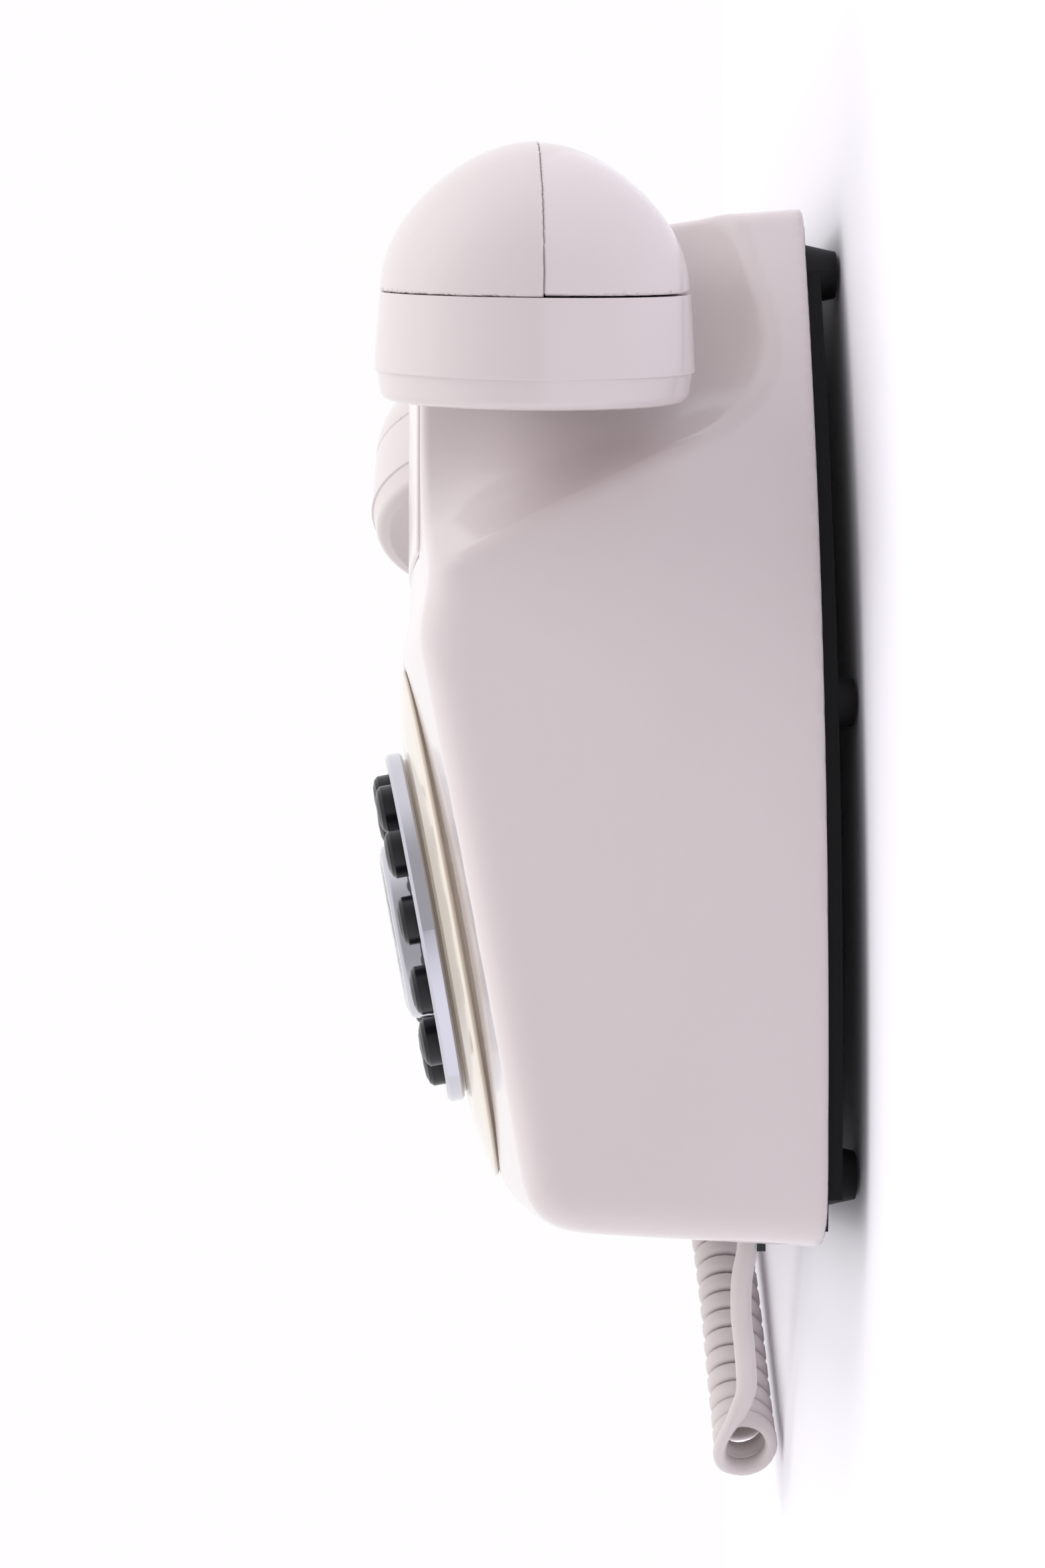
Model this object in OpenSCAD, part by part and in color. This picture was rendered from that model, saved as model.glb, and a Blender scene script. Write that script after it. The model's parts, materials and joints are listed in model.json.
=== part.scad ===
// Wall telephone with a horizontal handset, push buttons set in a dial ring and a curly cord.
// Origin on the wall plane, midway between the two keyholes. X to the right, Z up, the room at -Y.
// The word depth below means the distance out from the wall, so depth = -Y.

/* [Body] */
// Half of the body's greatest width
body_half_w = 95; // [90:0.5:100]
// Height of the top face at the wall side
body_top = 107.3; // [105:0.1:108]
// Height of the bottom face at the wall side
body_bottom = -105.5; // [-110:0.5:-100]
// Gap between the wall and the body's rim
rim_gap = 7.6; // [6:0.1:9]
// Wall thickness of the mouldings
wall_t = 2.6; // [2:0.1:3.5]
// Slope of the front face, in degrees
front_slope = 10.5; // [8:0.5:13]
// Depth of the neck's front face
neck_depth = 88; // [86:0.1:89]
// Half-width of the neck that carries the handset
neck_half_w = 50; // [46:0.5:52]

/* [Dial] */
// Height of the dial's centre
dial_z = -42.5; // [-48:0.5:-38]
// Depth of the dial plate's rim at its centre
dial_depth = 79.2; // [77:0.1:81]
// Radius of the dial plate
plate_r = 57.5; // [54:0.5:60]
// Radius of the chrome ring
bezel_r = 39.5; // [38:0.5:42]
// Radius of the chrome hub
hub_r = 20.4; // [18:0.1:22]
// Radius of the circle of buttons
button_circle_r = 30; // [29:0.1:31]
// Radius of one button
button_r = 5.3; // [4.5:0.1:5.5]
// Angle of the first button above the right-hand side
button_start = 5; // [0:1:15]

/* [Handset] */
// Radius of the ear and mouth caps
cap_r = 32; // [30:0.5:34]
// Distance of each cap's centre from the middle
cap_x = 84; // [80:0.5:88]
// Depth of the handset's centre line
handset_depth = 64.9; // [62:0.1:68]
// Tilt of the ear cap, in degrees
ear_tilt = 12; // [8:1:20]
// Tilt of the mouth cap, in degrees
mouth_tilt = 28; // [20:1:32]
// Half-height of the handle
handle_r = 13; // [11:0.5:15]

/* [Cords] */
// Outer diameter of the curly cord
coil_d = 15; // [13:0.5:17]
// Width of the flat cord
flat_w = 4.8; // [4:0.1:6]
// Thickness of the flat cord
flat_t = 2.8; // [2:0.1:3]

/* [Mounting] */
// Distance between the two keyholes
keyhole_gap = 83; // [80:0.5:86]
// Radius of a keyhole's round entry
keyhole_r = 4.5; // [4:0.1:5]

/* [Hidden] */
$fn = 96;
ivory = [0.86, 0.82, 0.78];
black = [0.06, 0.06, 0.07];
chrome = [0.75, 0.76, 0.8];
ear_point = [cap_x, -handset_depth, 68.7];
mouth_point = [-cap_x, -handset_depth, 58.6];
collar_h = 15.6;
dome_r = 30.2;
ear_dome = ear_point + collar_h * [sin(ear_tilt), 0, cos(ear_tilt)];
mouth_dome = mouth_point + collar_h * [-sin(mouth_tilt), 0, cos(mouth_tilt)];
handle_a = [-56, -handset_depth, 100];
handle_b = [54, -handset_depth, 100];
channel_floor = 87;
neck_r = 1290;
tray_depth = 4.2;
recess = 1.1;
feet_points = [[-78, -92], [78, -92], [-78, 3], [78, 3], [-54, 94], [54, 94]];
post_points = [[-70, -70], [70, -70], [-38, 92], [38, 92]];
// The coil's centre line, from its first turn below the body up the far side to the handset's end.
coil_route = [[-36, -8.6, -167.5], [-45, -8.4, -162], [-56, -8.4, -152], [-66, -8.4, -142], [-76, -8.6, -132],
  [-87, -9, -122], [-99, -9.5, -112], [-106, -12, -97], [-110, -16, -78], [-114, -25, -52], [-119, -36, -24],
  [-126, -48, 2], [-133, -58, 26], [-138, -63, 46]];
tail_route = [[0, -13, -107.4], [0, -12.4, -115], [-3, -13.4, -123], [-8, -13, -131.5], [-13, -11.7, -139.5],
  [-19, -10.5, -147.5], [-22, -10.4, -152], [-26, -12.2, -158], [-30, -14.4, -163], [-34, -15.2, -168]];
lead_route = [[-138.2, -63.4, 47], [-139, -64.4, 54], [-138, -64.9, 61], [-135, -64.9, 65.8], [-130.7, -64.9, 67.9]];

// A drawing in (depth, height) drawn out sideways, centred on the middle.
module side_on(w) {
  rotate([90, 0, -90])
    linear_extrude(w, center = true)
      children();
}

// A drawing in (x, height) drawn out from the wall between two depths.
module from_wall(d0, d1) {
  translate([0, -d0, 0])
    rotate([90, 0, 0])
      linear_extrude(d1 - d0)
        children();
}

// A round bar from one depth to another.
module bar(x, z, d0, d1, r) {
  translate([x, -d0, z])
    rotate([90, 0, 0])
      cylinder(h = d1 - d0, r = r);
}

// Local frame of the dial: z comes out of the front face, y runs up it.
module on_dial() {
  translate([0, -dial_depth, dial_z])
    rotate([90 + front_slope, 0, 0])
      children();
}

// Local frame of a cap: z runs up its axis from the line between lip and collar.
module on_ear() {
  translate(ear_point)
    rotate([0, ear_tilt, 0])
      children();
}

module on_mouth() {
  translate(mouth_point)
    rotate([0, -mouth_tilt, 0])
      children();
}

// Front outline of the body with rounded corners, inset by t.
module outline(t) {
  r = 10 - t;
  for (s = [-1, 1]) {
    translate([s * 55, body_top - 10])
      circle(r);
    translate([s * 84.5, body_bottom - 3 + 10])
      circle(r);
  }
  translate([-55, -90])
    square([110, body_top - t + 90]);
  translate([-84.5, body_bottom - 3 + t])
    square([169, 90]);
  translate([-100, body_bottom - 3 + 10])
    square([200, body_top - body_bottom + 3 - 20]);
}

// Profile of the body from the side, with the channel for the handle.
module profile() {
  polygon([
    [rim_gap, body_bottom - 5],
    [62.5, body_bottom - 1],
    [70.6, body_bottom + 4],
    [92.8, 15],
    [90.2, 18],
    [neck_depth + 0.5, 24],
    [neck_depth + 0.4, 95],
    [neck_depth - 3.6, 98.5],
    [82.4, 98.5],
    [82.4, channel_floor],
    [47, channel_floor],
    [44, channel_floor + 3],
    [43, body_top - 4.5],
    [41, body_top - 2.7],
    [rim_gap, body_top]]);
}

// Profile of the hollow inside, open towards the wall and inset by t elsewhere.
module hollow(t) {
  polygon([
    [rim_gap - 5, body_bottom - 5],
    [62, body_bottom + t - 1],
    [70.3 - t, body_bottom + 4 + t],
    [92.8 - t, 15],
    [neck_depth + 0.4 - t, 24],
    [neck_depth + 0.4 - t, channel_floor - t],
    [47 - t, channel_floor - t],
    [44 - t, channel_floor],
    [41 - t, body_top - 2.7 - t],
    [rim_gap - 5, body_top - t]]);
}

// The curved flank on one side as a cone about a line well outside the other side.
module flank(s, t) {
  translate([s * (body_half_w - 418), 20, -60])
    rotate([90, 0, 0])
      cylinder(h = 140, r1 = 419.4 - t, r2 = 412.4 - t, $fn = 240);
}

// The crowned front of the lower body, the neck's crowned front and the belly of the bottom face.
module crown(t) {
  intersection() {
    on_dial()
      translate([0, 0, -1290])
        rotate([90, 0, 0])
          cylinder(h = 400, r = 1290.2 - t, center = true, $fn = 240);
    translate([-150, -150, -150])
      cube([300, 200, 174]);
  }
}

module neck_crown(r) {
  translate([0, neck_r - neck_depth, 24])
    cylinder(h = 100, r = r, $fn = 240);
}

module belly(t) {
  translate([0, 0, body_bottom - 3.4])
    rotate([-3.4, 0, 0])
      translate([0, 0, 1350])
        rotate([90, 0, 0])
          cylinder(h = 300, r = 1350 - t, center = true, $fn = 240);
}

// Back wall and floor of the space cut out of each flank for a hanging cap.
function pocket_back(x) = 15.4 + (76 - x) * 0.66;
function pocket_floor(x, d) = 54.3 - (d - 33.3) * 0.463 + (80 - x) * 0.55;

// That space with its inner corner eased, widened by t.
module pocket(s, t) {
  mirror([s < 0 ? 1 : 0, 0, 0])
    hull()
      for (x = [neck_half_w - t, 101]) {
        b = pocket_back(x) - 1.2 * t;
        low = -1.23 * t;
        translate([x, 0, 0])
          side_on(0.02)
            polygon([[130, pocket_floor(x, 130) + low], [b + 8.2, pocket_floor(x, b + 8.2) + low],
              [b + 2.2, pocket_floor(x, b) + 1.4 + low], [b, pocket_floor(x, b) + 9 + low], [b, 126], [130, 126]]);
      }
}

// The body's outer form, or its inner form for t > 0.
module form(t) {
  difference() {
    intersection() {
      side_on(200)
        if (t > 0) hollow(t); else profile();
      from_wall(0, 110)
        outline(t);
      flank(1, t);
      flank(-1, t);
      belly(t);
      union() {
        crown(t);
        neck_crown(neck_r - t);
      }
    }
    pocket(1, t);
    pocket(-1, t);
  }
}

module front_cover() {
  color(ivory)
    difference() {
      form(0);
      difference() {
        form(wall_t);
        on_dial()
          translate([0, 0, -6])
            cylinder(h = 20, r = plate_r + 3);
        for (p = post_points)
          bar(p[0], p[1], 12, p[1] < 0 ? 80 : 50, 4.5);
      }
      on_dial() {
        translate([0, 0, -3.2])
          cylinder(h = 20, r = plate_r + 0.7);
        translate([0, 0, -12])
          cylinder(h = 20, r = 50);
      }
      for (p = post_points)
        bar(p[0], p[1], 11, 32, 1.3);
      for (s = [-1, 1])
        translate([s * 30 - 8.3, -70.3, channel_floor - 8])
          cube([16.6, 10.6, 12]);
      translate([-20, -100, channel_floor + 3])
        cube([40, 17, 30]);
      difference() {
        from_wall(80, 95)
          translate([-48.1, 35.3])
            square([96.2, 70]);
        neck_crown(neck_r - recess);
      }
      translate([-8, -20.5, -115])
        cube([16, 15.5, 14]);
      translate([-48, -20.5, -115])
        cube([16, 15.5, 14]);
      translate([58, -19.4, -115])
        cube([14, 3.6, 14]);
    }
}

module neck_panel() {
  color(ivory)
    intersection() {
      difference() {
        neck_crown(neck_r + 0.6);
        neck_crown(neck_r - recess + 0.1);
      }
      from_wall(70, 95)
        difference() {
          union() {
            translate([-47.5, 40])
              square([95, 54]);
            translate([-43.5, 36])
              square([87, 58]);
            for (s = [-1, 1])
              translate([s * 43.5, 40])
                circle(4);
          }
          translate([-20, channel_floor + 3])
            square([40, 20]);
        }
    }
}

module base_plate() {
  color(black)
    difference() {
      union() {
        intersection() {
          from_wall(7.2, 9.4)
            outline(wall_t + 0.6);
          flank(1, wall_t + 0.6);
          flank(-1, wall_t + 0.6);
          belly(wall_t + 0.8);
        }
        intersection() {
          from_wall(tray_depth, 7.3)
            translate([-100, -96])
              square([200, 193]);
          flank(1, wall_t + 2.5);
          flank(-1, wall_t + 2.5);
        }
        for (s = [-1, 1])
          translate([0, 0, s * keyhole_gap / 2])
            bar(0, 2, 0, 7, 11);
        for (p = post_points)
          bar(p[0], p[1], 9, 11.9, 4.5);
        for (x = [-34, 34], z = [-8, 34])
          bar(x, z, 9, 18, 3);
      }
      for (s = [-1, 1])
        translate([0, 0, s * keyhole_gap / 2]) {
          bar(0, 0, -1, 12, keyhole_r);
          translate([-2.2, -12, 0])
            cube([4.4, 13, 8]);
          translate([-5, -12, -4])
            cube([10, 6.6, 13]);
        }
      for (p = post_points) {
        bar(p[0], p[1], 4, 13, 1.8);
        bar(p[0], p[1], 4, 8.4, 3.6);
      }
      for (x = [-34, 34], z = [-8, 34])
        bar(x, z, 11, 19, 1.2);
      for (p = feet_points) {
        bar(p[0], p[1], 4, 8.6, 2.6);
        bar(p[0], p[1], 0, 7, 6.6);
      }
      for (x = [-40, 0])
        translate([x - 6.2, -20, -112])
          cube([12.4, 20, 25]);
      translate([56, -20, -112])
        cube([18, 20, 16]);
    }
}

module feet() {
  color(black)
    for (p = feet_points)
      difference() {
        union() {
          translate([p[0], -6.95, p[1]])
            rotate([-90, 0, 0])
              cylinder(h = 6.65, r1 = 6.3, r2 = 4.9);
          bar(p[0], p[1], 6.9, 8.5, 2.5);
        }
        bar(p[0], p[1], 0.2, 1.2, 2);
      }
}

module base_screws() {
  color(chrome)
    for (p = post_points)
      difference() {
        union() {
          bar(p[0], p[1], 5.6, 8.35, 3.3);
          bar(p[0], p[1], 8, 30, 1.25);
        }
        translate([p[0] - 0.5, -6.6, p[1] - 2])
          cube([1, 1.4, 4]);
        translate([p[0] - 2, -6.6, p[1] - 0.5])
          cube([4, 1.4, 1]);
      }
}

module dial_plate() {
  color([0.88, 0.83, 0.74])
    on_dial()
      rotate_extrude($fn = 120)
        polygon([[36.9, -3.2], [57, -3.2], [57.5, -2.6], [57.5, 0.3], [57, 1], [54, 1.7], [46, 2.9],
          [38.6, 3.4], [38.2, 4.1], [36.9, 4.1]]);
}

module bezel() {
  color(chrome)
    on_dial()
      difference() {
        rotate_extrude($fn = 120)
          polygon([[0, 4.1], [bezel_r - 0.6, 4.1], [bezel_r, 4.7], [bezel_r, 7.2], [bezel_r - 0.8, 7.9], [0, 7.9]]);
        for (k = [0:11])
          rotate(button_start + 30 * k)
            translate([button_circle_r, 0, 3])
              cylinder(h = 6, r = button_r + 0.3);
        translate([0, 0, 3])
          cylinder(h = 6, r = 3.6);
      }
}

module hub() {
  color(chrome)
    on_dial() {
      rotate_extrude($fn = 120)
        polygon([[0, 7.9], [hub_r - 0.4, 7.9], [hub_r, 8.3], [hub_r, 11.6], [hub_r - 1.2, 12.7], [18.2, 12.7],
          [18.2, 11.9], [0, 11.9]]);
      translate([0, 0, -5])
        cylinder(h = 13.5, r = 3.5);
    }
}

module label_card() {
  color([0.95, 0.95, 0.93])
    on_dial()
      translate([0, 0, 11.9])
        cylinder(h = 0.3, r = 17.8);
}

module label_window() {
  color([0.85, 0.9, 0.95, 0.5])
    on_dial()
      rotate_extrude($fn = 120)
        polygon([[0, 12.2], [18, 12.2], [18, 12.9], [16, 13.3], [0, 13.5]]);
}

module hub_clip() {
  color(chrome)
    on_dial()
      translate([0, 0, -3.6])
        difference() {
          cylinder(h = 1.1, r = 7);
          translate([0, 0, -1])
            cylinder(h = 4, r = 3.5);
        }
}

module keypad_mat() {
  color([0.3, 0.3, 0.33])
    on_dial()
      translate([0, 0, -0.9])
        difference() {
          cylinder(h = 1.7, r = 36.4);
          translate([0, 0, -1])
            cylinder(h = 4, r = 3.9);
        }
}

module keypad_board() {
  color([0.1, 0.35, 0.2])
    on_dial()
      translate([0, 0, -2.5])
        difference() {
          cylinder(h = 1.6, r = 36.5);
          translate([0, 0, -1])
            cylinder(h = 4, r = 3.9);
        }
}

// One push button: domed cap, shaft through the ring and a flange behind it.
module button(k) {
  color(black)
    on_dial()
      rotate(button_start + 30 * k)
        translate([button_circle_r, 0, 0])
          rotate_extrude($fn = 48)
            polygon([[0, 2.6], [6.1, 2.6], [6.1, 3.7], [button_r, 3.7], [button_r, 10.3], [button_r - 0.7, 11.1],
              [3, 11.7], [0, 11.9]]);
}

module button_1() { button(2); }
module button_2() { button(3); }
module button_3() { button(4); }
module button_4() { button(5); }
module button_5() { button(6); }
module button_6() { button(7); }
module button_7() { button(8); }
module button_8() { button(9); }
module button_9() { button(10); }
module button_10() { button(11); }
module button_11() { button(0); }
module button_12() { button(1); }

module main_board() {
  color([0.1, 0.35, 0.2])
    difference() {
      translate([-42, -19.6, -16])
        cube([84, 1.6, 58]);
      for (x = [-34, 34], z = [-8, 34])
        bar(x, z, 10, 24, 1.6);
    }
}

// Chip, two capacitors and a transformer on the main board.
module board_parts() {
  color([0.12, 0.12, 0.13]) {
    translate([-12, -23, 0])
      cube([24, 3.4, 9]);
    bar(-24, 22, 19.6, 31, 4);
    bar(-12, 26, 19.6, 29, 3.2);
    translate([11, -33, -10])
      cube([18, 13.4, 15]);
  }
}

module board_screws() {
  color(chrome)
    for (x = [-34, 34], z = [-8, 34]) {
      bar(x, z, 19.6, 21.4, 2.8);
      bar(x, z, 12, 20, 1.15);
    }
}

module ringer_bracket() {
  color([0.7, 0.7, 0.66])
    difference() {
      union() {
        translate([-52, -11, -84])
          cube([104, 1.6, 36]);
        translate([-7.5, -35, -58])
          cube([15, 25, 1.6]);
        bar(0, -64.5, 10.5, 31, 1.05);
      }
      bar(-70, -70, 5, 15, 5);
      bar(70, -70, 5, 15, 5);
    }
}

module ringer_coils() {
  color([0.55, 0.25, 0.12])
    for (x = [-5, 5])
      translate([x, -24, -56.4])
        difference() {
          cylinder(h = 16, r = 4.6);
          translate([0, 0, 14])
            cylinder(h = 3, r = 1.5);
        }
}

// A shallow bell cup on its post.
module gong(s) {
  color([0.8, 0.68, 0.35])
    translate([s * 31, -11, -66])
      rotate([90, 0, 0]) {
        cylinder(h = 12.5, r = 3);
        rotate_extrude($fn = 96)
          polygon([[0, 14], [0, 12.4], [14, 12.4], [20, 9.5], [22.4, 3], [24, 3], [21.8, 10.6], [15, 14]]);
      }
}

module gong_left() { gong(-1); }
module gong_right() { gong(1); }

module gong_screws() {
  color(chrome)
    for (s = [-1, 1])
      bar(s * 31, -66, 25, 27.4, 3.4);
}

// Striker that swings between the gongs on the bracket's pin.
module clapper() {
  color(chrome) {
    difference() {
      translate([-3, -30, -67.5])
        cube([6, 8, 6]);
      bar(0, -64.5, 20, 32, 1.2);
    }
    translate([-0.8, -26.5, -78])
      cube([1.6, 7, 11]);
    translate([0, -20, -78])
      sphere(r = 4.5);
  }
}

module hook_plungers() {
  color(ivory) {
    for (s = [-1, 1])
      translate([s * 30 - 8, -70, 70])
        cube([16, 10, channel_floor - 70 + 0.2]);
    translate([-38, -70, 67])
      cube([76, 10, 3.2]);
  }
}

module hook_lever() {
  color(chrome)
    difference() {
      union() {
        translate([-5, -66, 62])
          cube([10, 34, 1.6]);
        translate([-6, -33, 62])
          rotate([0, 90, 0])
            cylinder(h = 12, r = 2.6);
      }
      translate([-8, -33, 62])
        rotate([0, 90, 0])
          cylinder(h = 16, r = 1.15);
    }
}

module hook_bracket() {
  color([0.7, 0.7, 0.66]) {
    difference() {
      union() {
        for (s = [-1, 1])
          translate([s * 8 - 1, -37, 56])
            cube([2, 27.6, 10]);
        translate([-9, -11, 48])
          cube([18, 1.6, 18]);
      }
      translate([-12, -33, 62])
        rotate([0, 90, 0])
          cylinder(h = 24, r = 1.05);
    }
    translate([-10, -33, 62])
      rotate([0, 90, 0])
        cylinder(h = 20, r = 1.05);
  }
}

module hook_switch() {
  color(black) {
    translate([-4, -56, 44])
      cube([8, 16, 9]);
    translate([-2, -51, 52])
      cube([4, 3, 2]);
    translate([-3, -41, 46])
      cube([6, 30, 5]);
  }
}

// A small modular jack facing down, its opening on the plug's centre line.
module jack(x) {
  color(black)
    difference() {
      translate([x - 5.6, -19.2, -103.5])
        cube([11.2, 12.8, 12.5]);
      translate([x - 4.2, -16.4, -104])
        cube([8.4, 7, 9.5]);
    }
}

module cord_socket() { jack(0); }
module line_socket() { jack(-40); }

module ringer_switch() {
  color(chrome)
    difference() {
      translate([57, -19.8, -101.5])
        cube([16, 7, 8]);
      translate([58, -19, -103])
        cube([14, 2.8, 5]);
    }
}

module ringer_knob() {
  color(black)
    translate([62.5, -18.5, -108.6])
      cube([4, 1.8, 9.6]);
}

// A cone that widens from inside the handle's end to a dome, inset by t.
module taper(from, to, t) {
  d = to - from;
  translate(from)
    rotate([0, atan2(d[0], d[2]), 0])
      translate([0, 0, -12])
        cylinder(h = norm(d) + 4, r1 = 6.5 - t, r2 = dome_r - t - 1.6);
  translate(to)
    sphere(r = dome_r - t);
}

// Outer form of the handset's shell above the two joint lines, inset by t.
module handset_form(t) {
  r = handle_r - t;
  difference() {
    union() {
      for (s = [-1, 1])
        translate([handle_a[0], handle_a[1] + s * 3, handle_a[2]])
          rotate([0, 90, 0])
            cylinder(h = handle_b[0] - handle_a[0], r = r);
      translate([handle_a[0], handle_a[1] - 3, handle_a[2] - r])
        cube([handle_b[0] - handle_a[0], 6, 2 * r]);
      taper(handle_b, ear_dome, t);
      taper(handle_a, mouth_dome, t);
    }
    translate([-62, -handset_depth - 50, handle_a[2] - r - 59.6])
      cube([118, 100, 60]);
    on_ear()
      translate([0, 0, collar_h - 60])
        cylinder(h = 60, r = 31.6);
    on_mouth()
      translate([0, 0, collar_h - 60])
        cylinder(h = 60, r = 31.6);
  }
}

// Both halves of the handset's shell, with the socket's opening at the mouth end.
module handset_shell() {
  difference() {
    handset_form(0);
    handset_form(2.4);
    socket_line()
      translate([-4.6, -4.6, 8])
        cube([9.2, 9.2, 30]);
  }
}

// Line of the handset's cord socket: local z points out of the mouth end.
module socket_line() {
  on_mouth()
    translate([0, 0, collar_h + 1])
      rotate([0, -75, 0])
        children();
}

module handset_front() {
  color(ivory)
    intersection() {
      handset_shell();
      translate([-150, -handset_depth - 60, 0])
        cube([300, 59.95, 200]);
    }
}

module handset_back() {
  color(ivory)
    intersection() {
      handset_shell();
      translate([-150, -handset_depth + 0.05, 0])
        cube([300, 60, 200]);
    }
}

// Collar, lip and dished face of a cap, open towards the shell.
module cap() {
  difference() {
    rotate_extrude($fn = 120)
      polygon([[0, -3.2], [14, -3.4], [22, -4.2], [25.5, -5.6], [27.5, -6], [29.6, -5.4], [31.1, -3.6],
        [31.5, -0.3], [31.5, 0], [cap_r, 0.4], [31.4, 8], [31, collar_h - 0.15], [28.6, collar_h - 0.15],
        [28.6, 0.5], [24, -1], [0, -1]]);
    for (k = [0:5])
      rotate(60 * k)
        translate([7, 0, -8])
          cylinder(h = 12, r = 1.3, $fn = 24);
    translate([0, 0, -8])
      cylinder(h = 12, r = 1.3, $fn = 24);
  }
}

module ear_cap() {
  color(ivory)
    on_ear()
      cap();
}

module mouth_cap() {
  color(ivory)
    on_mouth()
      cap();
}

module cap_screens() {
  color(black) {
    on_ear()
      translate([0, 0, -0.95])
        cylinder(h = 0.5, r = 12);
    on_mouth()
      translate([0, 0, -0.95])
        cylinder(h = 0.5, r = 12);
  }
}

module receiver() {
  color([0.7, 0.7, 0.66])
    on_ear()
      difference() {
        translate([0, 0, 0.8])
          cylinder(h = 12, r = 22);
        translate([0, 0, 10])
          cylinder(h = 4, r = 12);
      }
}

module microphone() {
  color([0.7, 0.7, 0.66])
    on_mouth()
      difference() {
        translate([0, 0, 0.8])
          cylinder(h = 9, r = 15);
        translate([0, 0, 8])
          cylinder(h = 4, r = 9);
      }
}

module handset_weight() {
  color([0.5, 0.5, 0.52])
    translate([-26, -handset_depth - 6, 95])
      cube([52, 12, 9]);
}

module handset_socket() {
  color(black)
    socket_line()
      difference() {
        translate([-4.4, -4.4, 12])
          cube([8.8, 8.8, 17.4]);
        translate([-3.4, -3.2, 18])
          cube([6.8, 6.4, 14]);
      }
}

module handset_plug() {
  color([0.85, 0.9, 0.95, 0.5])
    socket_line()
      difference() {
        translate([-3.2, -3, 18.5])
          cube([6.4, 6, 15]);
        translate([-2.2, 2, 30])
          cube([4.4, 2, 5]);
      }
}

module base_plug() {
  color([0.85, 0.9, 0.95, 0.5])
    difference() {
      translate([-4, -16, -107.4])
        cube([8, 6.2, 12.4]);
      translate([-2.4, -17, -108])
        cube([4.8, 1.9, 8]);
    }
}

// Catmull-Rom point at u along a route.
function knot(p, i) = p[max(0, min(len(p) - 1, i))];
function along(p, u) =
  let (i = min(floor(u), len(p) - 2), f = u - i, a = knot(p, i - 1), b = knot(p, i), c = knot(p, i + 1), d = knot(p, i + 2))
  0.5 * (2 * b + f * (c - a) + f * f * (2 * a - 5 * b + 4 * c - d) + f * f * f * (3 * b - a - 3 * c + d));
function unit(v) = v / norm(v);
function heading(p, u) =
  unit(along(p, min(u + 0.02, len(p) - 1)) - along(p, max(u - 0.02, 0)));
function across(t, w) = unit(w - (w * t) * t);

// A tube swept along a route: n rings of m points, w wide along the guide direction and h thick.
module sweep(route, n, m, w, h, guide) {
  last = len(route) - 1;
  rings = [for (i = [0:n - 1])
    let (u = i * last / (n - 1), c = along(route, u), t = heading(route, u), a = across(t, guide), b = cross(t, a))
    for (j = [0:m - 1])
      c + a * (w / 2) * cos(360 * j / m) + b * (h / 2) * sin(360 * j / m)];
  sides = [for (i = [0:n - 2], j = [0:m - 1])
    let (k = (j + 1) % m)
    each [[i * m + j, i * m + k, (i + 1) * m + k], [i * m + j, (i + 1) * m + k, (i + 1) * m + j]]];
  ends = [[for (j = [m - 1:-1:0]) j], [for (j = [0:m - 1]) (n - 1) * m + j]];
  polyhedron(points = rings, faces = concat(sides, ends));
}

module cord_tail() {
  color(ivory)
    sweep(tail_route, 24, 8, flat_t, flat_w, [1, 0, 0]);
}

module cord_coil() {
  color(ivory)
    sweep(coil_route, 36, 12, coil_d, coil_d, [0, 1, 0.1]);
}

module cord_lead() {
  color(ivory)
    sweep(lead_route, 10, 8, 4.4, 2.8, [0, 1, 0]);
}

front_cover();
neck_panel();
base_plate();
feet();
base_screws();
dial_plate();
bezel();
hub();
label_card();
label_window();
hub_clip();
keypad_mat();
keypad_board();
button_1();
button_2();
button_3();
button_4();
button_5();
button_6();
button_7();
button_8();
button_9();
button_10();
button_11();
button_12();
main_board();
board_parts();
board_screws();
ringer_bracket();
ringer_coils();
gong_left();
gong_right();
gong_screws();
clapper();
hook_plungers();
hook_lever();
hook_bracket();
hook_switch();
cord_socket();
line_socket();
ringer_switch();
ringer_knob();
handset_front();
handset_back();
ear_cap();
mouth_cap();
receiver();
microphone();
handset_weight();
handset_socket();
cap_screens();
base_plug();
cord_tail();
cord_coil();
cord_lead();
handset_plug();
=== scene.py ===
"""Looks of the wall telephone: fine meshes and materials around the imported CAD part.

Lengths are in millimetres until a mesh is made.
"""

import json
import math

import bpy
import numpy as np
from mathutils import Matrix, Vector


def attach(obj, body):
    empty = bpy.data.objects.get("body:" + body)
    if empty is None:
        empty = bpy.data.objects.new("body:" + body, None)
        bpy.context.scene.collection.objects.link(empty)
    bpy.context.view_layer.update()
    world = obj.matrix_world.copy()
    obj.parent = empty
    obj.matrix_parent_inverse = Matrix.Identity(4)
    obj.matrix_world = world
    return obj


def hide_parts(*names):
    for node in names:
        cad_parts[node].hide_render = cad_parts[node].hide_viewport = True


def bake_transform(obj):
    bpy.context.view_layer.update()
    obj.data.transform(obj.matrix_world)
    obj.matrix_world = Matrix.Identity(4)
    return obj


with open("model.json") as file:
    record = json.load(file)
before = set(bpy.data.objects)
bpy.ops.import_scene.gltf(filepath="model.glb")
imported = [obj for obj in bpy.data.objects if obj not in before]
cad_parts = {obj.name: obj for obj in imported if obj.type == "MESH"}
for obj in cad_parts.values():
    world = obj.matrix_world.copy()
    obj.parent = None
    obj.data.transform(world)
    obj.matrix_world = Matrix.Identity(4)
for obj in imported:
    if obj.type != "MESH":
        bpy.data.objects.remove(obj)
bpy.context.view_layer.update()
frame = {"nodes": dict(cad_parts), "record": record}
MM = 0.001

# ---------------------------------------------------------------- driving sizes, as in part.scad but for LEAD

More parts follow.
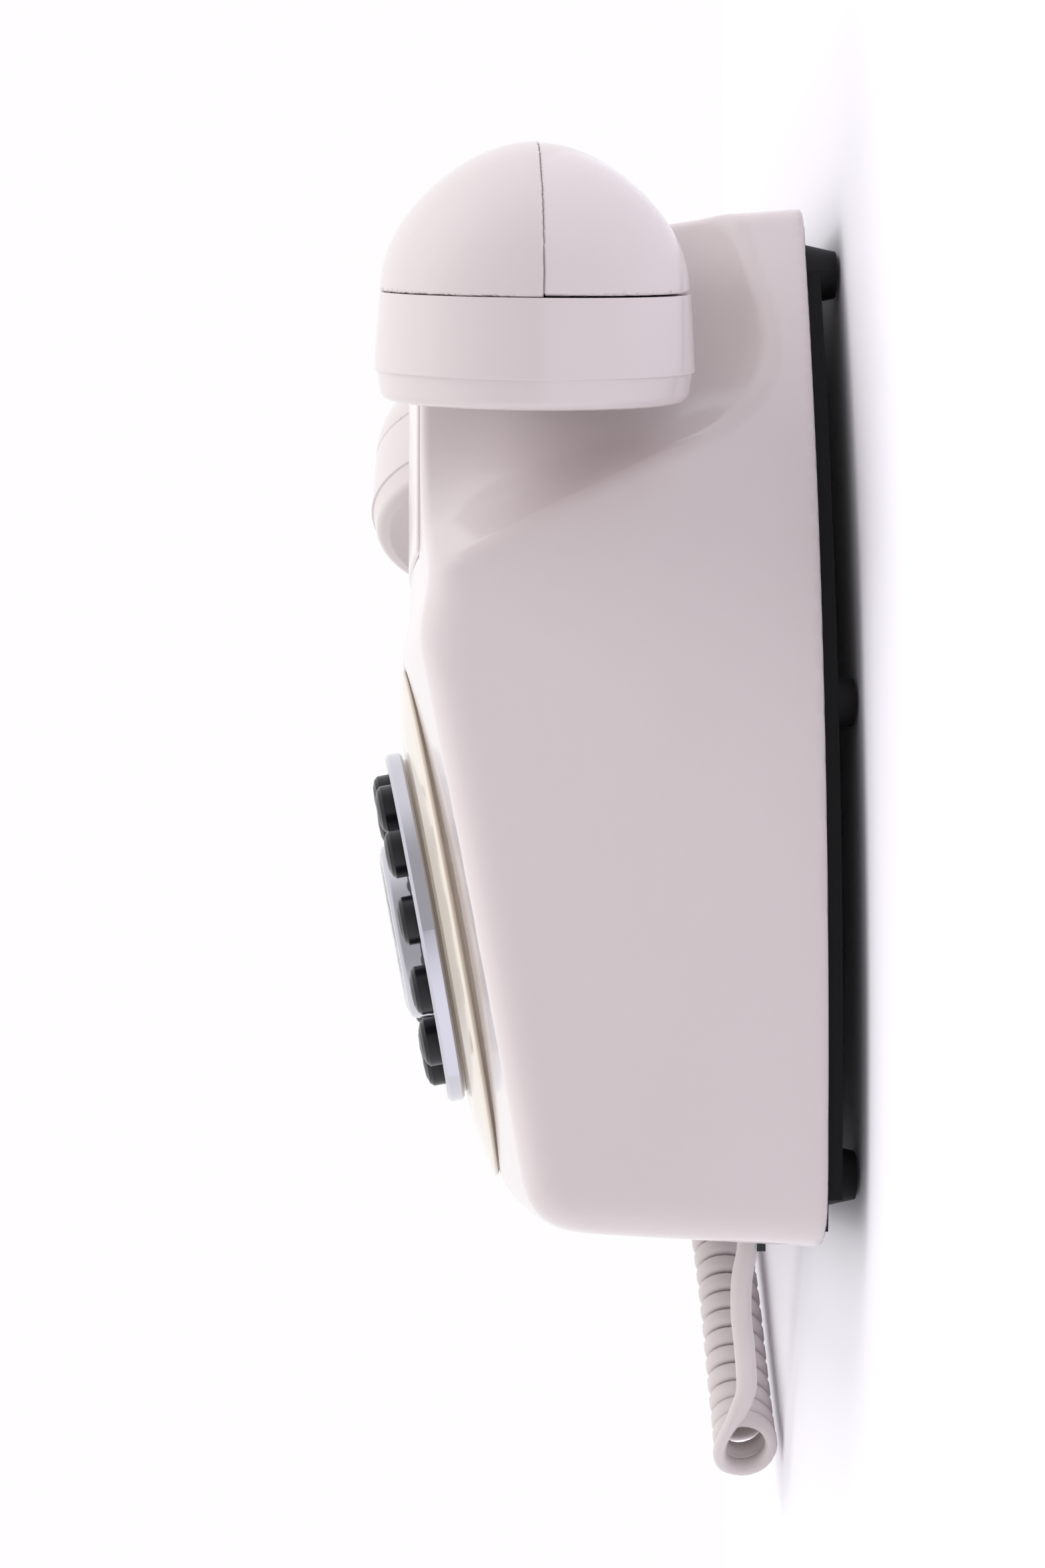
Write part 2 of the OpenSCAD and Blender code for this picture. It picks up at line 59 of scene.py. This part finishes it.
DIAL_DEPTH, DIAL_Z, SLOPE = 79.2, -42.5, math.radians(10.5)
HANDSET_DEPTH = 64.9
EAR = (84.0, 68.7, math.radians(12))
MOUTH = (-84.0, 58.6, math.radians(-28))
COLLAR_H, CAP_R = 15.6, 32.0
TAIL = [(0, -13, -107.4), (0, -12.4, -115), (-3, -13.4, -123), (-8, -13, -131.5), (-13, -11.7, -139.5),
        (-19, -10.5, -147.5), (-22, -10.4, -152), (-26, -12.2, -158), (-30, -14.4, -163), (-34, -15.2, -168)]
COIL = [(-36, -8.6, -167.5), (-45, -8.4, -162), (-56, -8.4, -152), (-66, -8.4, -142), (-76, -8.6, -132),
        (-87, -9, -122), (-99, -9.5, -112), (-106, -12, -97), (-110, -16, -78), (-114, -25, -52),
        (-119, -36, -24), (-126, -48, 2), (-133, -58, 26), (-138, -63, 46)]
# part.scad's lead stops 5 mm short of the handset plug; this one runs into it.
LEAD = [(-138.2, -63.4, 47), (-140, -64.4, 53), (-139.4, -64.9, 58.5), (-136, -64.9, 62.3),
        (-130.5, -64.9, 64.3), (-124.5, -64.9, 65.7)]
COIL_D, TURN_PITCH = 15.0, 5.5
WIRE_W, WIRE_T = 4.8, 3.0
# The strength of the sky on the right-hand side, where it is 1 elsewhere.
DIM_SIDE = 0.52

dial_centre = Matrix.Translation((0, -DIAL_DEPTH * MM, DIAL_Z * MM))
dial_frame = dial_centre @ Matrix.Rotation(math.pi / 2 + SLOPE, 4, "X")


def cap_frame(x, z, tilt):
    return Matrix.Translation((x * MM, -HANDSET_DEPTH * MM, z * MM)) @ Matrix.Rotation(tilt, 4, "Y")


# ---------------------------------------------------------------- camera

def make_camera():
    data = bpy.data.cameras.new("camera")
    cam = bpy.data.objects.new("camera", data)
    bpy.context.scene.collection.objects.link(cam)
    data.sensor_fit = "VERTICAL"
    data.sensor_height = 36
    data.sensor_width = 36
    data.lens = 74.05
    yaw, pitch = math.radians(2.83), math.radians(1.46)
    forward = Vector((-math.cos(yaw) * math.cos(pitch), math.sin(yaw) * math.cos(pitch), math.sin(pitch)))
    right = Vector((math.sin(yaw), math.cos(yaw), 0))
    up = right.cross(forward)
    turn = Matrix((right, up, -forward)).transposed()
    cam.matrix_world = Matrix.Translation((0.724, -0.0989, -0.030)) @ turn.to_4x4()
    bpy.context.scene.camera = cam


make_camera()

# ---------------------------------------------------------------- materials


def material(name, colour, roughness, metallic=0.0, coat=0.0, bump=0.0, scale=400.0, mottle=0.0,
             alpha_through=0.0, rough_spread=0.0, specular=0.5):
    m = bpy.data.materials.new(name)
    m.use_nodes = True
    tree = m.node_tree
    shader = tree.nodes["Principled BSDF"]
    shader.inputs["Base Color"].default_value = (*colour, 1)
    shader.inputs["Roughness"].default_value = roughness
    shader.inputs["Metallic"].default_value = metallic
    shader.inputs["Coat Weight"].default_value = coat
    shader.inputs["Specular IOR Level"].default_value = specular
    shader.inputs["Coat Roughness"].default_value = 0.06
    if alpha_through:
        shader.inputs["Transmission Weight"].default_value = alpha_through
        shader.inputs["IOR"].default_value = 1.49
    where = tree.nodes.new("ShaderNodeTexCoord")
    if mottle:
        cloud = tree.nodes.new("ShaderNodeTexNoise")
        cloud.inputs["Scale"].default_value = 35
        cloud.inputs["Detail"].default_value = 4
        mix = tree.nodes.new("ShaderNodeMix")
        mix.data_type = "RGBA"
        mix.inputs[6].default_value = (*[c * (1 - mottle) for c in colour], 1)
        mix.inputs[7].default_value = (*[min(1, c * (1 + mottle)) for c in colour], 1)
        tree.links.new(where.outputs["Object"], cloud.inputs["Vector"])
        tree.links.new(cloud.outputs["Fac"], mix.inputs[0])
        tree.links.new(mix.outputs[2], shader.inputs["Base Color"])
    if rough_spread:
        smear = tree.nodes.new("ShaderNodeTexNoise")
        smear.inputs["Scale"].default_value = 60
        smear.inputs["Detail"].default_value = 5
        spread = tree.nodes.new("ShaderNodeMapRange")
        spread.inputs["To Min"].default_value = roughness - rough_spread
        spread.inputs["To Max"].default_value = roughness + rough_spread
        tree.links.new(where.outputs["Object"], smear.inputs["Vector"])
        tree.links.new(smear.outputs["Fac"], spread.inputs["Value"])
        tree.links.new(spread.outputs["Result"], shader.inputs["Roughness"])
    if bump:
        grain = tree.nodes.new("ShaderNodeTexNoise")
        grain.inputs["Scale"].default_value = scale
        grain.inputs["Detail"].default_value = 3
        relief = tree.nodes.new("ShaderNodeBump")
        relief.inputs["Strength"].default_value = bump
        relief.inputs["Distance"].default_value = 0.0002
        tree.links.new(where.outputs["Object"], grain.inputs["Vector"])
        tree.links.new(grain.outputs["Fac"], relief.inputs["Height"])
        tree.links.new(relief.outputs["Normal"], shader.inputs["Normal"])
    return m


LOOK = {
    "ivory": material("ivory", (0.67, 0.605, 0.61), 0.16, coat=0.3, mottle=0.012, bump=0.02, scale=90,
                      rough_spread=0.03),
    "cream": material("cream", (0.70, 0.62, 0.52), 0.12, coat=0.4, mottle=0.012, bump=0.02, scale=90,
                      rough_spread=0.03),
    "plunger": material("plunger", (0.67, 0.605, 0.61), 0.2, mottle=0.01, bump=0.02),
    "chrome": material("chrome", (0.62, 0.62, 0.68), 0.06, metallic=1.0, bump=0.01, scale=150,
                       rough_spread=0.02),
    "black_base": material("black_base", (0.004, 0.004, 0.005), 0.5, specular=0.2, bump=0.12, scale=900,
                           mottle=0.1, rough_spread=0.05),
    "black": material("black", (0.004, 0.004, 0.007), 0.3, coat=0.0, bump=0.05, scale=500, mottle=0.1,
                      rough_spread=0.04),
    "rubber": material("rubber", (0.006, 0.006, 0.007), 0.6, specular=0.3, bump=0.2, scale=700,
                       mottle=0.15, rough_spread=0.06),
    "steel": material("steel", (0.55, 0.56, 0.58), 0.3, metallic=1.0, bump=0.1, scale=500,
                      rough_spread=0.06),
    "card": material("card", (0.85, 0.85, 0.83), 0.7, bump=0.05, scale=900, mottle=0.02),
    "clear": material("clear", (0.95, 0.97, 1.0), 0.06, alpha_through=0.95, rough_spread=0.02,
                      bump=0.01),
    "plug": material("plug", (0.60, 0.62, 0.66), 0.12, alpha_through=0.3, rough_spread=0.03,
                     bump=0.02),
    "board": material("board", (0.02, 0.14, 0.06), 0.35, coat=0.3, bump=0.15, scale=300, mottle=0.2),
    "screen": material("screen", (0.02, 0.02, 0.02), 0.9, bump=0.8, scale=1500, mottle=0.3),
    "copper": material("copper", (0.45, 0.18, 0.07), 0.4, coat=0.2, bump=0.5, scale=800, mottle=0.1),
    "brass": material("brass", (0.72, 0.53, 0.22), 0.2, metallic=1.0, bump=0.05, scale=200,
                      rough_spread=0.06),
    "cord": material("cord", (0.65, 0.59, 0.59), 0.36, bump=0.04, scale=250, mottle=0.012,
                     rough_spread=0.04),
}
slots = {s["node"]: s["material_slot"] for s in frame["record"]["subparts"]}
for name, obj in frame["nodes"].items():
    obj.data.materials.clear()
    obj.data.materials.append(LOOK["plug" if name in ("base_plug", "handset_plug") else slots[name]])

# ---------------------------------------------------------------- mesh helpers


def add_mesh(name, points, faces, look, body="base", normals=None, smooth=True, matrix=None):
    """A piece from points in millimetres, in the row frame or in the frame that matrix gives."""
    mesh = bpy.data.meshes.new(name)
    pts = np.asarray(points, float) * MM
    if matrix is not None:
        turned = np.asarray(matrix)
        pts = pts @ turned[:3, :3].T + turned[:3, 3]
        if normals is not None:
            normals = np.asarray(normals) @ turned[:3, :3].T
    mesh.from_pydata(pts.tolist(), [], [list(f) for f in faces])
    mesh.update()
    if smooth:
        mesh.polygons.foreach_set("use_smooth", [True] * len(mesh.polygons))
    if normals is not None:
        mesh.normals_split_custom_set_from_vertices(np.asarray(normals).tolist())
    obj = bpy.data.objects.new(name, mesh)
    bpy.context.scene.collection.objects.link(obj)
    mesh.materials.append(LOOK[look])
    if body:
        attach(obj, body)
    return obj


def rounded(points, radius, steps=6):
    """An outline with each inner corner rounded. A point may be (a, b) or (a, b, its own radius)."""
    out = [np.array(points[0][:2], float)]
    for before, here, after in zip(points, points[1:], points[2:]):
        p, a, b = (np.array(q[:2], float) for q in (here, before, after))
        r = here[2] if len(here) > 2 else radius
        to_a, to_b = a - p, b - p
        la, lb = np.linalg.norm(to_a), np.linalg.norm(to_b)
        to_a, to_b = to_a / la, to_b / lb
        half = math.acos(np.clip(np.dot(to_a, to_b), -1, 1)) / 2
        if r <= 0 or half > math.pi / 2 - 0.01:
            out.append(p)
            continue
        cut = min(r / math.tan(half), la * 0.49, lb * 0.49)
        r = cut * math.tan(half)
        middle = p + (to_a + to_b) / np.linalg.norm(to_a + to_b) * r / math.sin(half)
        start, end = p + to_a * cut - middle, p + to_b * cut - middle
        sweep = math.atan2(start[0] * end[1] - start[1] * end[0], np.dot(start, end))
        for i in range(steps + 1):
            t = sweep * i / steps
            c, s = math.cos(t), math.sin(t)
            out.append(middle + np.array([start[0] * c - start[1] * s, start[0] * s + start[1] * c]))
    out.append(np.array(points[-1][:2], float))
    return out


def lathe(name, outline, look, body, matrix, radius=0.5, segments=128, closed=False):
    """A turned piece: outline is (radius, height) points, rounded at its corners."""
    ring = rounded(outline, radius)
    points, faces = [], []
    n = len(ring)
    for r, z in ring:
        for k in range(segments):
            a = 2 * math.pi * k / segments
            points.append((max(r, 1e-4) * math.cos(a), max(r, 1e-4) * math.sin(a), z))
    for i in range(n - 1 + (1 if closed else 0)):
        for k in range(segments):
            j, m = (i + 1) % n, (k + 1) % segments
            faces.append((i * segments + k, i * segments + m, j * segments + m, j * segments + k))
    obj = add_mesh(name, points, faces, look, None, matrix=matrix)
    obj.data.validate()
    mod = obj.modifiers.new("even", "WEIGHTED_NORMAL")
    mod.keep_sharp = False
    mod.weight = 50
    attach(obj, body)
    return obj


def smax(a, b, k):
    h = np.maximum(k - np.abs(a - b), 0) / k
    return np.maximum(a, b) + h * h * k / 4


def smin(a, b, k):
    return -smax(-a, -b, k)


def solid_from(name, field, xs, ys, zs, look, body):
    """The zero surface of field(x, y, z), by surface nets on a grid, then moved on to the surface."""
    X, Y, Z = np.meshgrid(xs, ys, zs, indexing="ij")
    V = field(X, Y, Z)
    grid = np.stack([X, Y, Z], -1)
    inside = V < 0
    cells = tuple(s - 1 for s in V.shape)
    total, count = np.zeros((*cells, 3)), np.zeros(cells)
    quads = []
    index = np.full(cells, -1, int)
    crossings = []
    for axis in range(3):
        lo = [slice(None)] * 3
        hi = [slice(None)] * 3
        lo[axis], hi[axis] = slice(0, -1), slice(1, None)
        a, b = V[tuple(lo)], V[tuple(hi)]
        cross = inside[tuple(lo)] != inside[tuple(hi)]
        t = np.where(cross, a / np.where(cross, a - b, 1), 0)[..., None]
        where = (grid[tuple(lo)] * (1 - t) + grid[tuple(hi)] * t) * cross[..., None]
        others = [i for i in range(3) if i != axis]
        for u in (0, 1):
            for v in (0, 1):
                cut = [slice(None)] * 3
                cut[others[0]] = slice(u, u + cells[others[0]])
                cut[others[1]] = slice(v, v + cells[others[1]])
                total += where[tuple(cut)]
                count += cross[tuple(cut)]
        crossings.append((axis, others, cross, inside[tuple(lo)]))
    used = count > 0
    index[used] = np.arange(used.sum())
    points = total[used] / count[used][:, None]
    for axis, others, cross, first_in in crossings:
        core = [slice(None)] * 3
        core[others[0]], core[others[1]] = slice(1, -1), slice(1, -1)
        at = np.argwhere(cross[tuple(core)])
        shift = np.zeros(3, int)
        shift[others[0]] = shift[others[1]] = 1
        at = at + shift
        flip = first_in[tuple(at.T)]
        ring = []
        for u, v in ((1, 1), (0, 1), (0, 0), (1, 0)):
            c = at.copy()
            c[:, others[0]] -= u
            c[:, others[1]] -= v
            ring.append(index[tuple(c.T)])
        ring = np.stack(ring, 1)
        if axis == 1:
            flip = ~flip
        quads.append(np.where(flip[:, None], ring, ring[:, ::-1]))
    quads = np.concatenate(quads)

    def gradient(p):
        e = 0.04
        out = np.empty_like(p)
        for i in range(3):
            step = np.zeros(3)
            step[i] = e
            out[:, i] = (field(*(p + step).T) - field(*(p - step).T)) / (2 * e)
        return out

    for _ in range(5):
        g = gradient(points)
        move = g * (field(*points.T) / np.maximum((g * g).sum(1), 0.2))[:, None]
        size = np.linalg.norm(move, axis=1, keepdims=True)
        points = points - move * np.minimum(1, 0.8 / np.maximum(size, 1e-9))
    g = gradient(points)
    normals = g / np.maximum(np.linalg.norm(g, axis=1, keepdims=True), 1e-9)
    return add_mesh(name, points, quads.tolist(), look, body, normals=normals)


def span(lo, hi, step, *fine):
    """Grid lines from lo to hi, with closer ones in each (from, to, step) of fine."""
    lines = list(np.arange(lo, hi + step, step))
    for a, b, s in fine:
        lines = [v for v in lines if not a - step * 0.4 <= v <= b + step * 0.4]
        lines += list(np.arange(a, b + s / 2, s))
    return np.array(sorted(lines))


# ---------------------------------------------------------------- cords


def smooth_route(route, step):
    """A Catmull-Rom curve through the route's points, as evenly spaced points."""
    p = np.array(route, float)
    p = np.vstack([2 * p[0] - p[1], p, 2 * p[-1] - p[-2]])
    fine = []
    for i in range(1, len(p) - 2):
        a, b, c, d = p[i - 1:i + 3]
        for f in np.linspace(0, 1, 40, endpoint=False):
            square = f ** 2 * (2 * a - 5 * b + 4 * c - d)
            cube = f ** 3 * (3 * b - a - 3 * c + d)
            fine.append(0.5 * (2 * b + f * (c - a) + square + cube))
    fine = np.array(fine + [p[-2]])
    s = np.concatenate([[0], np.cumsum(np.linalg.norm(np.diff(fine, axis=0), axis=1))])
    n = max(2, int(round(s[-1] / step)))
    at = np.linspace(0, s[-1], n + 1)
    return np.stack([np.interp(at, s, fine[:, i]) for i in range(3)], 1)


def tube(name, line, side, width, thick, look, sections=10):
    """A band with a rounded section that follows line; side holds its width's direction at each point."""
    n = len(line)
    along = np.gradient(line, axis=0)
    along /= np.linalg.norm(along, axis=1, keepdims=True)
    side = side - (side * along).sum(1, keepdims=True) * along
    side /= np.linalg.norm(side, axis=1, keepdims=True)
    other = np.cross(along, side)
    points, faces = [], []
    for k in range(sections):
        a = 2 * math.pi * k / sections
        ca, sa = math.cos(a), math.sin(a)
        grow = 0.82
        u = math.copysign(abs(ca) ** grow, ca) * width[:, None] / 2
        v = math.copysign(abs(sa) ** grow, sa) * thick[:, None] / 2
        points.append(line + side * u + other * v)
    points = np.stack(points, 1).reshape(-1, 3)
    for i in range(n - 1):
        for k in range(sections):
            m = (k + 1) % sections
            faces.append((i * sections + k, i * sections + m,
                          (i + 1) * sections + m, (i + 1) * sections + k))
    faces.append(tuple(range(sections))[::-1])
    faces.append(tuple((n - 1) * sections + k for k in range(sections)))
    return add_mesh(name, points, faces, look, None)


def make_cord():
    """Tail, coil and lead as one band: the tail runs into the first turn on the room side, heading down."""
    tail = smooth_route(TAIL, 1.5)
    axis = smooth_route(COIL, 1.0)
    lead = smooth_route(LEAD, 1.5)
    turns = round(np.linalg.norm(np.diff(axis, axis=0), axis=1).sum() / TURN_PITCH) + 0.25
    t = np.linspace(0, 1, int(turns * 22) + 1)
    s = np.linspace(0, 1, len(axis))
    centre = np.stack([np.interp(t, s, axis[:, i]) for i in range(3)], 1)
    along = np.gradient(centre, axis=0)
    along /= np.linalg.norm(along, axis=1, keepdims=True)
    room = np.array([0, -1.0, 0])
    out = room - (along @ room)[:, None] * along
    out /= np.linalg.norm(out, axis=1, keepdims=True)
    down = np.cross(out, along)
    phase = 2 * math.pi * turns * t[:, None]
    loose = 1 + 0.05 * np.exp(-phase / 5)
    radius = (COIL_D - WIRE_T) / 2 * loose
    helix = centre + radius * (np.cos(phase) * out + np.sin(phase) * down)
    twist = np.clip((np.linspace(0, 1, len(tail)) - 0.55) / 0.42, 0, 1)[:, None] ** 2
    tail_side = (1 - twist) * np.array([0.1, 1.0, 0]) + twist * along[0]
    lead_side = np.tile(along[-1], (len(lead), 1))
    line = np.vstack([tail[:-2], helix, lead[4:]])
    side = np.vstack([tail_side[:-2], along, lead_side[4:]])
    joins = [len(tail) - 2, len(tail) - 2 + len(helix)]
    line, side = ease(line, side, joins)
    width, thick = np.full(len(line), WIRE_W), np.full(len(line), WIRE_T)
    obj = tube("curly_cord", line, side, width, thick, "cord")
    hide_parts("cord_tail", "cord_coil", "cord_lead")
    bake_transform(obj)


def ease(line, side, joins):
    """Rounds the corners where the straight stretches run into the helix."""
    for j, reach in zip(joins, (4, 12)):
        a, b = j - reach, j + reach
        p0, p1 = line[a].copy(), line[b].copy()
        t0, t1 = line[a] - line[a - 1], line[b + 1] - line[b]
        gap = np.linalg.norm(p1 - p0)
        t0, t1 = t0 / np.linalg.norm(t0) * gap, t1 / np.linalg.norm(t1) * gap
        f = np.linspace(0, 1, b - a + 1)[:, None]
        line[a:b + 1] = ((2 * f ** 3 - 3 * f ** 2 + 1) * p0 + (f ** 3 - 2 * f ** 2 + f) * t0
                         + (3 * f ** 2 - 2 * f ** 3) * p1 + (f ** 3 - f ** 2) * t1)
        side[a:b + 1] = side[a] * (1 - f) + side[b] * f
    return line, side


make_cord()

# ---------------------------------------------------------------- body


def body_field(x, y, z):
    """Outer form of the body, before its front recess, as a signed distance in millimetres."""
    d, ax = -y, np.abs(x)
    flank = np.hypot(ax + 323, z + 60) - (418 - 0.05 * (d - 7.6))
    top = (z - 107.4 + 0.0787 * (d - 7.6)) * 0.997
    bottom = (-108.9 + 0.0594 * d + x * x / 2700 - z) * 0.998
    out = (d - DIAL_DEPTH) * math.cos(SLOPE) - (z - DIAL_Z) * math.sin(SLOPE)
    crown = np.hypot(x, out + 1290) - 1290.2
    neck = np.hypot(x, d + 1202) - 1290
    front = smax(crown, smin(neck, (z - 20) * 0.6, 7), 5)
    form = smax(flank, front, 7)
    form = smax(form, top, 3.5)
    form = smax(form, bottom, 11)
    pocket = smax(50 - ax, (12.4 + (76 - ax) * 0.66 - d) * 0.8345, 13)
    pocket = smax(pocket, (54.3 - (d - 33.3) * 0.463 + (80 - ax) * 0.55 - z) * 0.8122, 15)
    form = smax(form, -pocket, 2.0)
    channel = smax(smax(44 - d, d - 82.4, 0.5), 87 - z, 6)
    form = smax(form, -channel, 3)
    form = smax(form, -smax(97.8 - z, 62 - d, 0.5), 2)
    return form, neck, out


def cover_field(x, y, z):
    form, neck, out = body_field(x, y, z)
    d, ax = -y, np.abs(x)
    up = (z - DIAL_Z) * math.cos(SLOPE) + (d - DIAL_DEPTH) * math.sin(SLOPE)
    r = np.hypot(x, up)
    hollow = smax(form + 2.6, -smax(r - 60.7, -6 - out, 0.5), 0.5)
    shell = smax(smax(form, 7.6 - d, 1.2), -hollow, 0.8)
    shell = smax(shell, -smax(r - 58.2, -3.2 - out, 0.4), 0.9)
    shell = smax(shell, -smax(r - 50, -12 - out, 0.5), 0.5)
    shell = smax(shell, -smax(smax(ax - 20, 90 - z, 8), 78 - d, 1), 2)
    shell = smax(shell, -smax(smax(ax - 48.1, 35.4 - z, 4), -1.1 - neck, 0.3), 0.4)
    for cx, half, low, high in ((0, 8, 5, 20.5), (-40, 8, 5, 20.5), (65, 7, 15.8, 19.4)):
        hole = smax(np.abs(x - cx) - half, np.abs(d - (low + high) / 2) - (high - low) / 2, 1)
        shell = smax(shell, -smax(hole, z + 100, 1), 0.4)
    for cx in (-30, 30):
        hole = smax(np.abs(x - cx) - 8.3, np.abs(d - 65) - 5.3, 1)
        shell = smax(shell, -smax(hole, 79 - z, 1), 0.5)
    return shell


def panel_field(x, y, z):
    d, ax = -y, np.abs(x)
    neck = np.hypot(x, d + 1202) - 1290
    face = smax(smax(ax - 47.5, 36 - z, 4), neck - 0.6, 1.0)
    face = smax(face, z - 97.2, 2)
    face = smax(face, -1.05 - neck, 0.2)
    return smax(face, -smax(ax - 20, 90 - z, 8), 1.5)


def make_cover():
    step = 1.3
    xs = span(-98, 98, step, (-50.8, -46.6, 0.3), (46.6, 50.8, 0.3))
    ys = span(-93.5, -5, step, (-89.4, -85.6, 0.4))
    zs = span(-111, 110, step, (34, 37, 0.4))
    cover = solid_from("cover_skin", cover_field, xs, ys, zs, "ivory", "base")
    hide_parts("front_cover")
    xs = span(-49, 49, 1.3, (-48, -46.5, 0.3), (46.5, 48, 0.3))
    ys = np.arange(-90.5, -82, 0.3)
    zs = span(34.5, 99, 1.3, (35.5, 37, 0.3))
    panel = solid_from("neck_panel_skin", panel_field, xs, ys, zs, "ivory", "base")
    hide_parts("neck_panel")


make_cover()

# ---------------------------------------------------------------- dial


def make_dial():
    plate_outline = [(36.9, -3.2), (36.9, 4.1, 0.1), (37.7, 4.1, 0.1), (37.8, 3.55, 0.1), (46, 2.95, 8),
                     (55.5, 1.3, 6), (57.5, 0.75, 0.4), (57.4, 0.05, 0.3), (56.0, -0.5, 0.3), (55.8, -3.2)]
    plate = lathe("plate_skin", plate_outline, "cream", "base", dial_frame, segments=192)
    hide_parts("dial_plate")
    hub_outline = [(0, 11.9), (17.6, 11.9, 0.3), (18.1, 12.5, 0.3), (18.8, 12.7, 0.6), (19.5, 12.1, 1.2),
                   (20.6, 7.95, 0.1), (0, 7.95)]
    hub = lathe("hub_skin", hub_outline, "chrome", "base", dial_frame, segments=192)
    stem_outline = [(3.5, 7.9), (3.5, -4.9, 0.3), (0, -5)]
    lathe("hub_stem", stem_outline, "chrome", "base", dial_frame, segments=48)
    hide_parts("hub")


make_dial()

# ---------------------------------------------------------------- handset


def handset_field(x, y, z):
    """The handset's shell above its caps: a round-topped bar that runs into two domes."""
    y = y + HANDSET_DEPTH
    arch = 100.4 - (x / 60) ** 2 * 1.2
    form = (np.hypot(y / 16.5, (z - arch) / 12.8) - 1) * 12.8
    form = smax(form, np.abs(x) - 64, 4)
    cuts = []
    for cx, cz, tilt in (EAR, MOUTH):
        along = (x - cx) * math.sin(tilt) + (z - cz) * math.cos(tilt) - COLLAR_H
        across = np.hypot((x - cx) * math.cos(tilt) - (z - cz) * math.sin(tilt), y)
        size = np.hypot(along, across)
        cosine = np.clip(along / np.maximum(size, 1e-6), -1, 1)
        double = 2 * cosine ** 2 - 1
        dome = size - (30.15 - 0.75 * double - 1.2 * (1 - double ** 2))
        form = smin(form, dome, 11)
        cuts.append(smax(along, across - 33, 0.3))
    for cut in cuts:
        form = smax(form, -cut, 0.6)
    return form


def front_half(x, y, z):
    return smax(handset_field(x, y, z), y + HANDSET_DEPTH, 0.05)


def back_half(x, y, z):
    return smax(handset_field(x, y, z) + 0.22, -y - HANDSET_DEPTH, 0.05)


def cap_outline():
    """From the collar's top, just under the handset's shell, down to the middle of the cap's face."""
    return [(28.6, COLLAR_H - 0.08), (30.9, COLLAR_H - 0.08, 0.2), (31.5, 8, 20), (CAP_R, 0.25, 0.25),
            (31.5, 0.0, 0.1), (31.3, -1.2, 1), (30.6, -5.4, 3.2), (27.5, -6, 1.5),
            (24.5, -5.2, 3), (18, -3.8, 8), (0, -3.2)]


def make_handset():
    step = 0.9
    xs, zs = span(-126, 122, step), span(50, 118, step)
    deep = HANDSET_DEPTH
    ys = span(-deep - 34, -deep + 1.5, step, (-deep - 1.2, -deep + 0.6, 0.3))
    front = solid_from("handset_front_skin", front_half, xs, ys, zs, "ivory", "handset")
    ys = span(-deep - 1.5, -deep + 34, step, (-deep - 0.6, -deep + 1.2, 0.3))
    back = solid_from("handset_back_skin", back_half, xs, ys, zs, "ivory", "handset")
    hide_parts("handset_front")
    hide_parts("handset_back")
    for name, spot in (("ear", EAR), ("mouth", MOUTH)):
        cap = lathe(name + "_cap_skin", cap_outline(), "ivory", "handset", cap_frame(*spot), segments=192)
        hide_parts(name + "_cap")


make_handset()

# ---------------------------------------------------------------- room and light


def plane(name, corners, colour, roughness=0.9):
    mesh = bpy.data.meshes.new(name)
    mesh.from_pydata(corners, [], [(0, 1, 2, 3)])
    obj = bpy.data.objects.new(name, mesh)
    bpy.context.scene.collection.objects.link(obj)
    m = bpy.data.materials.new(name)
    m.use_nodes = True
    shader = m.node_tree.nodes["Principled BSDF"]
    shader.inputs["Base Color"].default_value = (*colour, 1)
    shader.inputs["Roughness"].default_value = roughness
    mesh.materials.append(m)
    return obj


def lamp(name, place, aim, size, power):
    """A soft square light that shows in no reflection."""
    data = bpy.data.lights.new(name, "AREA")
    data.energy = power
    data.size = size
    obj = bpy.data.objects.new(name, data)
    bpy.context.scene.collection.objects.link(obj)
    obj.location = place
    obj.rotation_euler = (Vector(aim) - Vector(place)).to_track_quat("-Z", "Y").to_euler()
    obj.visible_glossy = False


def make_sky():
    """White light from all round, dimmer from the right-hand side (+X)."""
    world = bpy.data.worlds.new("sky")
    bpy.context.scene.world = world
    world.use_nodes = True
    tree = world.node_tree
    where = tree.nodes.new("ShaderNodeTexCoord")
    split = tree.nodes.new("ShaderNodeSeparateXYZ")
    fade = tree.nodes.new("ShaderNodeMapRange")
    fade.interpolation_type = "SMOOTHSTEP"
    fade.inputs["From Min"].default_value = -0.1
    fade.inputs["From Max"].default_value = 0.75
    fade.inputs["To Min"].default_value = 1.0
    fade.inputs["To Max"].default_value = DIM_SIDE
    back = tree.nodes["Background"]
    back.inputs["Color"].default_value = (1.0, 0.985, 1.0, 1)
    tree.links.new(where.outputs["Generated"], split.inputs["Vector"])
    tree.links.new(split.outputs["X"], fade.inputs["Value"])
    tree.links.new(fade.outputs["Result"], back.inputs["Strength"])


def make_room():
    """The wall reaches just past the hanging cord on one side, and far past the phone on the others."""
    far, near, tall = -0.16, 3.0, 3.0
    corners = [(far, 0.0004, -tall), (near, 0.0004, -tall), (near, 0.0004, tall), (far, 0.0004, tall)]
    plane("wall", corners, (0.90, 0.89, 0.94))
    make_sky()
    lamp("key", (0.15, -1.1, 0.9), (0, -0.05, 0), 1.0, 9)
    lamp("low", (0.3, -1.0, -0.8), (0, -0.05, -0.05), 0.9, 4)
    bpy.context.scene.view_settings.view_transform = "Standard"


make_room()
